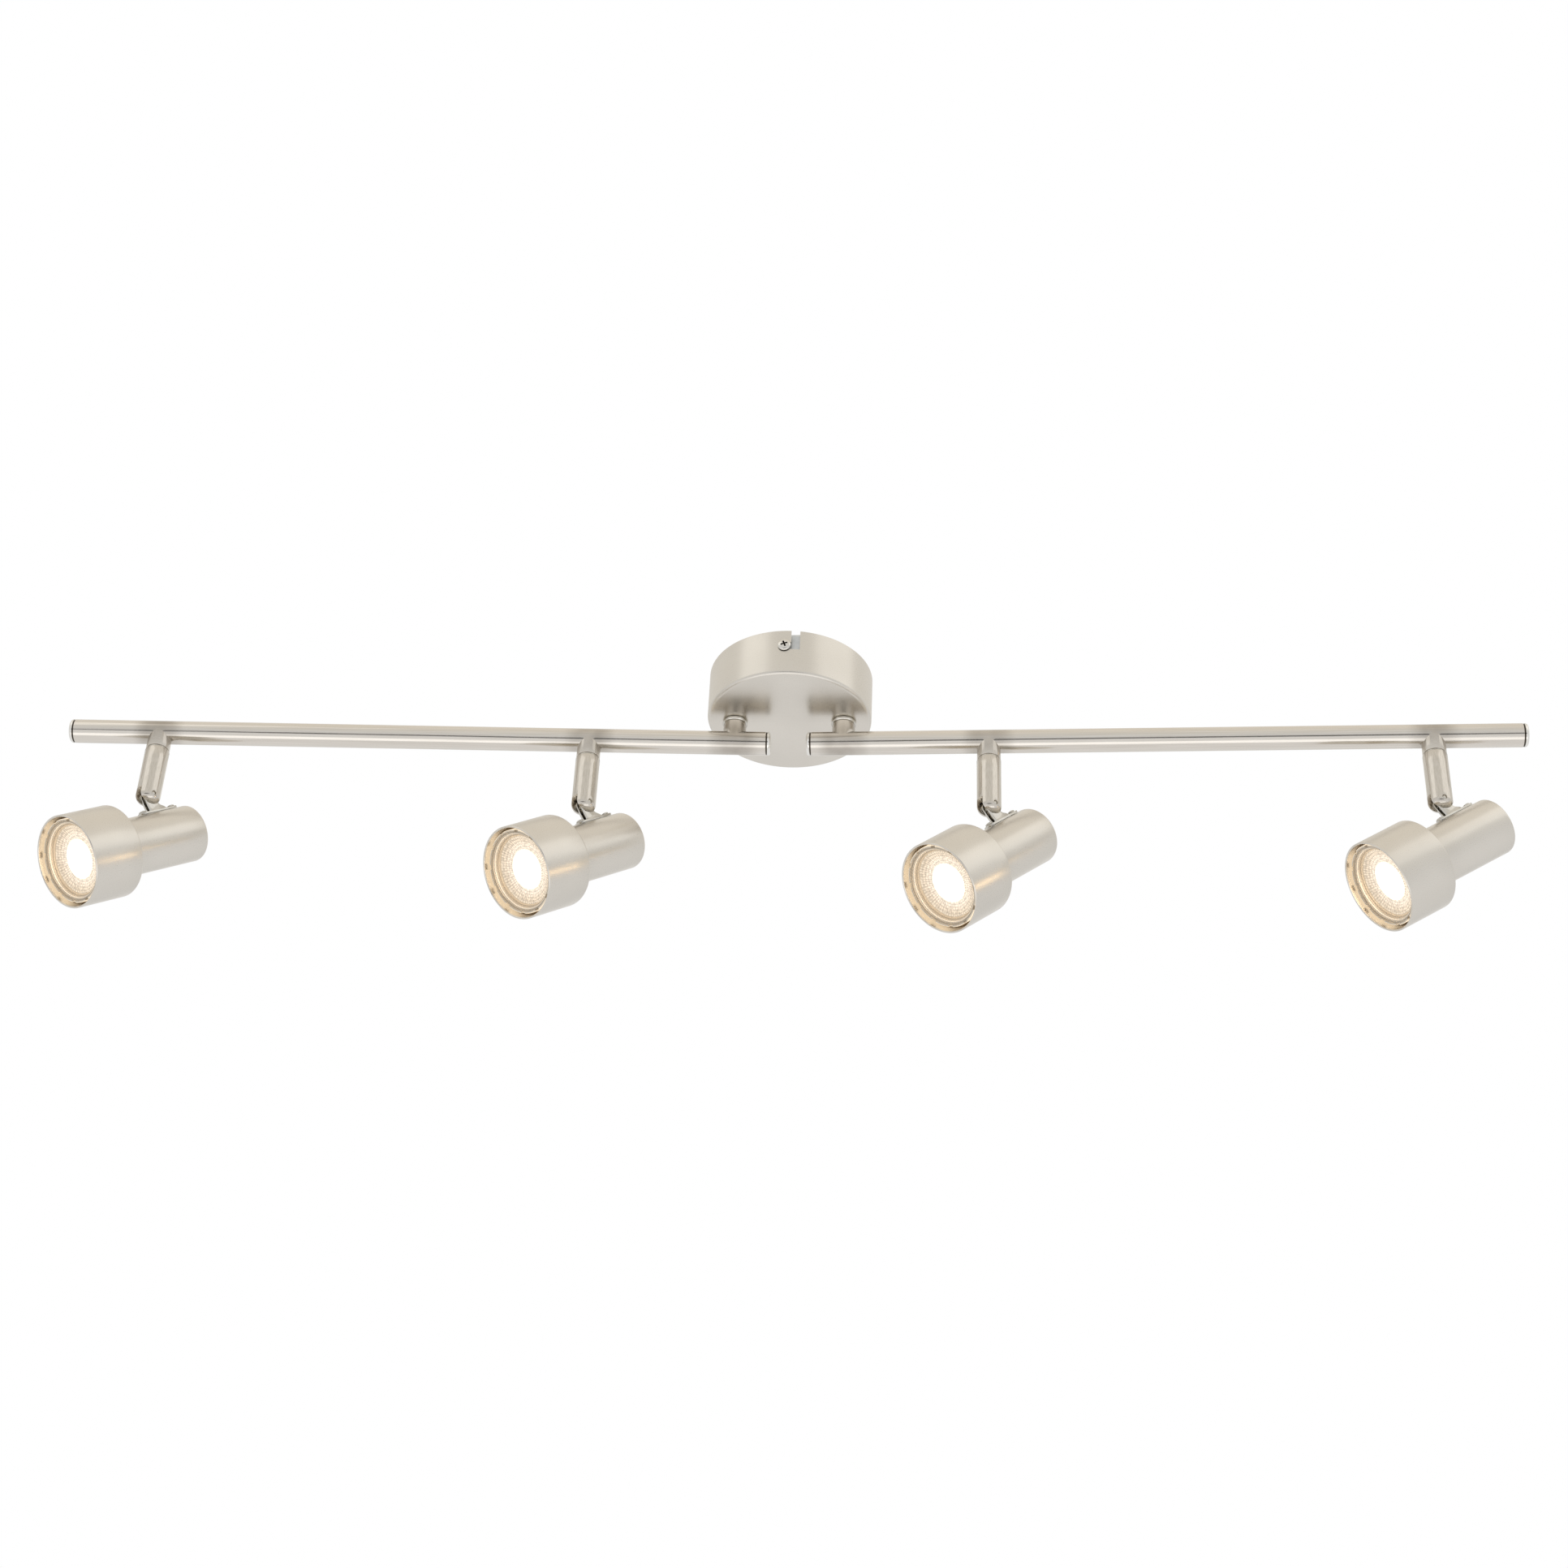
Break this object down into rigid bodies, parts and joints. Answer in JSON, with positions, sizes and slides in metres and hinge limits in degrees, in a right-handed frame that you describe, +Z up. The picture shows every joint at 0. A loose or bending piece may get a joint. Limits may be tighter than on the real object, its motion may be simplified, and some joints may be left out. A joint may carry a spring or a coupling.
{
  "type": "track lighting fixture",
  "caption": "Ceiling bar lamp: a round rose carries swivelling rails, each with turning stems and tilting cylindrical spot heads with reflector lamps.",
  "frame": {"origin": "centre of the rose's ceiling bracket, on its face against the ceiling", "axes": "+Z up into the ceiling, X along the rails, -Y towards the side the spots are turned to at rest"},
  "size_m": [0.8804, 0.1134, 0.1854],
  "materials": {
    "satin_nickel": "satin nickel plate over spun steel, very fine matt grain",
    "brushed_nickel": "nickel plate brushed along the tube, soft lengthwise lines",
    "bright_nickel": "bright nickel plate, polished",
    "zinc_steel": "zinc-plated sheet steel, dull",
    "brass": "turned brass, unlacquered",
    "white_nylon": "moulded nylon, matt",
    "steatite": "unglazed pressed steatite",
    "lamp_plastic": "clear-grey moulded lamp rim, glossy",
    "lamp_window": "lit warm-white lens, smooth"
  },
  "bodies": {
    "rose": {"ceiling_bracket": "zinc_steel", "rose_cover": "satin_nickel", "side_screw_front": "bright_nickel", "side_screw_back": "bright_nickel", "terminal_block": "white_nylon", "earth_screw": "brass", "friction_washer_left": "white_nylon", "post_washer_left": "bright_nickel", "friction_washer_right": "white_nylon", "post_washer_right": "bright_nickel"},
    "rail_arm_left": {"rail_left": "brushed_nickel", "rail_cap_left_outer": "bright_nickel", "rail_cap_left_inner": "bright_nickel", "post_nipple_left": "brass", "post_nut_left": "brass"},
    "rail_arm_right": {"rail_right": "brushed_nickel", "rail_cap_right_outer": "bright_nickel", "rail_cap_right_inner": "bright_nickel", "post_nipple_right": "brass", "post_nut_right": "brass"},
    "stem_arm_left_outer": {"stem_left_outer": "brushed_nickel", "stem_washer_left_outer": "bright_nickel", "knuckle_pin_left_outer": "bright_nickel"},
    "spot_left_outer": {"knuckle_bracket_left_outer": "bright_nickel", "bracket_screw_front_left_outer": "bright_nickel", "bracket_screw_back_left_outer": "bright_nickel", "head_shell_left_outer": "satin_nickel", "lampholder_left_outer": "steatite", "lamp_body_left_outer": "lamp_plastic", "lamp_lens_left_outer": "lamp_window"},
    "stem_arm_left_inner": {"stem_left_inner": "brushed_nickel", "stem_washer_left_inner": "bright_nickel", "knuckle_pin_left_inner": "bright_nickel"},
    "spot_left_inner": {"knuckle_bracket_left_inner": "bright_nickel", "bracket_screw_front_left_inner": "bright_nickel", "bracket_screw_back_left_inner": "bright_nickel", "head_shell_left_inner": "satin_nickel", "lampholder_left_inner": "steatite", "lamp_body_left_inner": "lamp_plastic", "lamp_lens_left_inner": "lamp_window"},
    "stem_arm_right_inner": {"stem_right_inner": "brushed_nickel", "stem_washer_right_inner": "bright_nickel", "knuckle_pin_right_inner": "bright_nickel"},
    "spot_right_inner": {"knuckle_bracket_right_inner": "bright_nickel", "bracket_screw_front_right_inner": "bright_nickel", "bracket_screw_back_right_inner": "bright_nickel", "head_shell_right_inner": "satin_nickel", "lampholder_right_inner": "steatite", "lamp_body_right_inner": "lamp_plastic", "lamp_lens_right_inner": "lamp_window"},
    "stem_arm_right_outer": {"stem_right_outer": "brushed_nickel", "stem_washer_right_outer": "bright_nickel", "knuckle_pin_right_outer": "bright_nickel"},
    "spot_right_outer": {"knuckle_bracket_right_outer": "bright_nickel", "bracket_screw_front_right_outer": "bright_nickel", "bracket_screw_back_right_outer": "bright_nickel", "head_shell_right_outer": "satin_nickel", "lampholder_right_outer": "steatite", "lamp_body_right_outer": "lamp_plastic", "lamp_lens_right_outer": "lamp_window"}
  },
  "joints": [
    {"name": "rail_swivel_left", "type": "hinge", "parent": "rose", "child": "rail_arm_left", "pos_m": [-0.03315, 0, -0.0345], "axis": [0, 0, 1], "range_deg": [-90, 90]},
    {"name": "rail_swivel_right", "type": "hinge", "parent": "rose", "child": "rail_arm_right", "pos_m": [0.03315, 0, -0.0345], "axis": [0, 0, 1], "range_deg": [-90, 90]},
    {"name": "spot_turn_left_outer", "type": "hinge", "parent": "rail_arm_left", "child": "stem_arm_left_outer", "pos_m": [-0.38443, -0.0092, -0.0618], "axis": [0, 0, 1], "range_deg": [-175, 175]},
    {"name": "spot_tilt_left_outer", "type": "hinge", "parent": "stem_arm_left_outer", "child": "spot_left_outer", "pos_m": [-0.38443, -0.0092, -0.096], "axis": [0.7071, -0.7071, 0], "range_deg": [-61.6, 53.4]},
    {"name": "spot_turn_left_inner", "type": "hinge", "parent": "rail_arm_left", "child": "stem_arm_left_inner", "pos_m": [-0.12112, -0.0023, -0.0618], "axis": [0, 0, 1], "range_deg": [-175, 175]},
    {"name": "spot_tilt_left_inner", "type": "hinge", "parent": "stem_arm_left_inner", "child": "spot_left_inner", "pos_m": [-0.12112, -0.0023, -0.096], "axis": [0.6613, -0.7501, 0], "range_deg": [-61.6, 53.4]},
    {"name": "spot_turn_right_inner", "type": "hinge", "parent": "rail_arm_right", "child": "stem_arm_right_inner", "pos_m": [0.12112, -0.0023, -0.0618], "axis": [0, 0, 1], "range_deg": [-175, 175]},
    {"name": "spot_tilt_right_inner", "type": "hinge", "parent": "stem_arm_right_inner", "child": "spot_right_inner", "pos_m": [0.12112, -0.0023, -0.096], "axis": [0.5417, -0.8406, 0], "range_deg": [-66.9, 48.1]},
    {"name": "spot_turn_right_outer", "type": "hinge", "parent": "rail_arm_right", "child": "stem_arm_right_outer", "pos_m": [0.38443, -0.0092, -0.0618], "axis": [0, 0, 1], "range_deg": [-175, 175]},
    {"name": "spot_tilt_right_outer", "type": "hinge", "parent": "stem_arm_right_outer", "child": "spot_right_outer", "pos_m": [0.38443, -0.0092, -0.096], "axis": [0.1959, -0.9806, 0], "range_deg": [-59.7, 55.3]}
  ]
}
